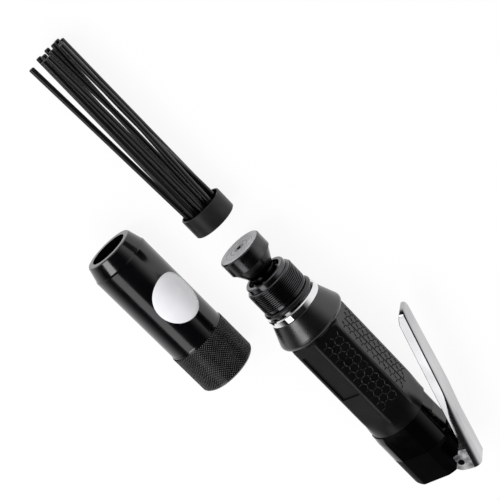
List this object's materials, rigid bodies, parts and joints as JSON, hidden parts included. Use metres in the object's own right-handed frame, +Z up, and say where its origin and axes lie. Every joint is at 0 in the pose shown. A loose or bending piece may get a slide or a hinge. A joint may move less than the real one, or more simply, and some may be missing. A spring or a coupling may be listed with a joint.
{
  "type": "needle scaler",
  "caption": "Straight air needle scaler taken apart for a needle change: handle with throttle lever and anvil nose, needle set in its holder, and knurled front tube.",
  "frame": {"origin": "centre of the air inlet's mouth", "axes": "+X out of the inlet to the rear along the tool, +Y to the lever's side, +Z up from the bench"},
  "size_m": [0.3128, 0.1232, 0.0406],
  "materials": {
    "blued_steel": "dark blued, machined",
    "anvil_steel": "dark steel with a bright striking face",
    "plated_steel": "bright plated",
    "inner_steel": "ground",
    "bronze": "plain bearing bronze",
    "satin_black": "satin black",
    "gloss_black": "glossy black",
    "black_screws": "black oxide",
    "black_oxide": "black oxide",
    "tube_black": "glossy black anodised",
    "grip_rubber": "moulded, matt",
    "seal_rubber": "smooth"
  },
  "bodies": {
    "tool": {"barrel": "blued_steel", "anvil_bush": "bronze", "anvil_seal": "seal_rubber", "nose_seal": "seal_rubber", "lock_ring": "plated_steel", "front_cap": "satin_black", "handle_tube": "inner_steel", "grip_sleeve": "grip_rubber", "valve_case": "inner_steel", "valve_seat": "inner_steel", "valve_dowel": "inner_steel", "valve_housing": "gloss_black", "rear_block": "satin_black", "block_screws": "black_screws", "inlet_bushing": "inner_steel", "inlet_screen": "inner_steel", "throttle_bush": "bronze", "throttle_plug": "inner_steel", "plug_seal": "seal_rubber", "lever_pin": "inner_steel", "throttle_spring": "inner_steel"},
    "lever": {"lever": "plated_steel"},
    "throttle": {"throttle_stem": "inner_steel", "throttle_seal": "seal_rubber"},
    "piston": {"piston": "inner_steel"},
    "anvil": {"anvil": "anvil_steel", "anvil_clip": "inner_steel"},
    "valve_disc": {"valve_disc": "inner_steel"},
    "needle_set": {"needle_holder": "black_oxide"},
    "front_tube": {"front_tube": "tube_black"},
    "needle_01": {"needle_01": "black_oxide"},
    "needle_02": {"needle_02": "black_oxide"},
    "needle_03": {"needle_03": "black_oxide"},
    "needle_04": {"needle_04": "black_oxide"},
    "needle_05": {"needle_05": "black_oxide"},
    "needle_06": {"needle_06": "black_oxide"},
    "needle_07": {"needle_07": "black_oxide"},
    "needle_08": {"needle_08": "black_oxide"},
    "needle_09": {"needle_09": "black_oxide"},
    "needle_10": {"needle_10": "black_oxide"},
    "needle_11": {"needle_11": "black_oxide"},
    "needle_12": {"needle_12": "black_oxide"}
  },
  "joints": [
    {"name": "lever_hinge", "type": "hinge", "parent": "tool", "child": "lever", "pos_m": [-0.00089, 0.0169, 0], "axis": [0, 0, 1], "range_deg": [0, 10]},
    {"name": "throttle_slide", "type": "slide", "parent": "tool", "child": "throttle", "axis": [0, -1, 0], "range_m": [0, 0.003], "deforming": ["throttle_spring"]},
    {"name": "piston_slide", "type": "slide", "parent": "tool", "child": "piston", "axis": [-1, 0, 0], "range_m": [0, 0.0227]},
    {"name": "anvil_slide", "type": "slide", "parent": "tool", "child": "anvil", "axis": [1, 0, 0], "range_m": [0, 0.005]},
    {"name": "valve_disc_slide", "type": "slide", "parent": "tool", "child": "valve_disc", "axis": [-1, 0, 0], "range_m": [0, 0.0006]},
    {"name": "needle_set_lift", "type": "slide", "parent": "tool", "child": "needle_set", "axis": [0, 0, 1], "range_m": [0, 0.06]},
    {"name": "front_tube_lift", "type": "slide", "parent": "tool", "child": "front_tube", "axis": [0, 0, 1], "range_m": [0, 0.06]},
    {"name": "needle_01_slide", "type": "slide", "parent": "needle_set", "child": "needle_01", "axis": [1, -0.0014, 0.005], "range_m": [0, 0.01]},
    {"name": "needle_02_slide", "type": "slide", "parent": "needle_set", "child": "needle_02", "axis": [0.9994, 0.0297, -0.02], "range_m": [0, 0.01]},
    {"name": "needle_03_slide", "type": "slide", "parent": "needle_set", "child": "needle_03", "axis": [1, -0.0052, -0.0005], "range_m": [0, 0.01]},
    {"name": "needle_04_slide", "type": "slide", "parent": "needle_set", "child": "needle_04", "axis": [1, 0, 0], "range_m": [0, 0.01]},
    {"name": "needle_05_slide", "type": "slide", "parent": "needle_set", "child": "needle_05", "axis": [1, 0, 0], "range_m": [0, 0.01]},
    {"name": "needle_06_slide", "type": "slide", "parent": "needle_set", "child": "needle_06", "axis": [1, 0.001, -0.0014], "range_m": [0, 0.01]},
    {"name": "needle_07_slide", "type": "slide", "parent": "needle_set", "child": "needle_07", "axis": [0.9999, 0.0135, -0.0034], "range_m": [0, 0.01]},
    {"name": "needle_08_slide", "type": "slide", "parent": "needle_set", "child": "needle_08", "axis": [1, -0.0078, -0.0038], "range_m": [0, 0.01]},
    {"name": "needle_09_slide", "type": "slide", "parent": "needle_set", "child": "needle_09", "axis": [1, -0.0014, -0.0032], "range_m": [0, 0.01]},
    {"name": "needle_10_slide", "type": "slide", "parent": "needle_set", "child": "needle_10", "axis": [1, 0, 0], "range_m": [0, 0.01]},
    {"name": "needle_11_slide", "type": "slide", "parent": "needle_set", "child": "needle_11", "axis": [1, 0.0052, -0.0031], "range_m": [0, 0.01]},
    {"name": "needle_12_slide", "type": "slide", "parent": "needle_set", "child": "needle_12", "axis": [1, 0, 0.0017], "range_m": [0, 0.01]}
  ],
  "couplings": [
    {"joint": "throttle_slide", "follows": "lever_hinge", "m_per_rad": 0.017199}
  ]
}
